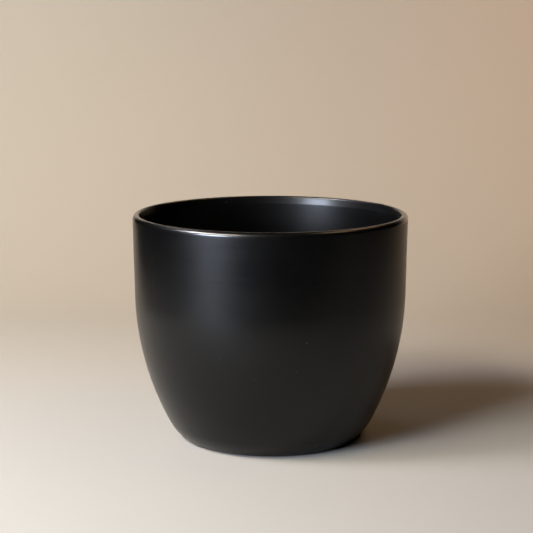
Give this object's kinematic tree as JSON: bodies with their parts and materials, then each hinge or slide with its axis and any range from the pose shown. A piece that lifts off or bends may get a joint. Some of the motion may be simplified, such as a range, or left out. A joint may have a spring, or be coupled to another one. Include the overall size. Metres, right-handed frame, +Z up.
{
  "type": "clay pot",
  "caption": "Round satin-black fired clay pot with straight upper wall, belly drawn in to a narrow foot, rolled lip bevelled inside, on felt pads.",
  "frame": {"origin": "on the surface that the pot stands on, under the middle of the pot", "axes": "+Z up along the pot's axis of revolution; the pot is round, so +X and +Y only place the pads: one at +Y, two towards -Y"},
  "size_m": [0.17, 0.17, 0.14],
  "materials": {
    "black_clay": "burnished satin black, matt underneath",
    "pad_felt": "pressed dark grey wool felt"
  },
  "bodies": {
    "root": {"pot_body": "black_clay", "felt_pad_1": "pad_felt", "felt_pad_2": "pad_felt", "felt_pad_3": "pad_felt"}
  },
  "joints": []
}
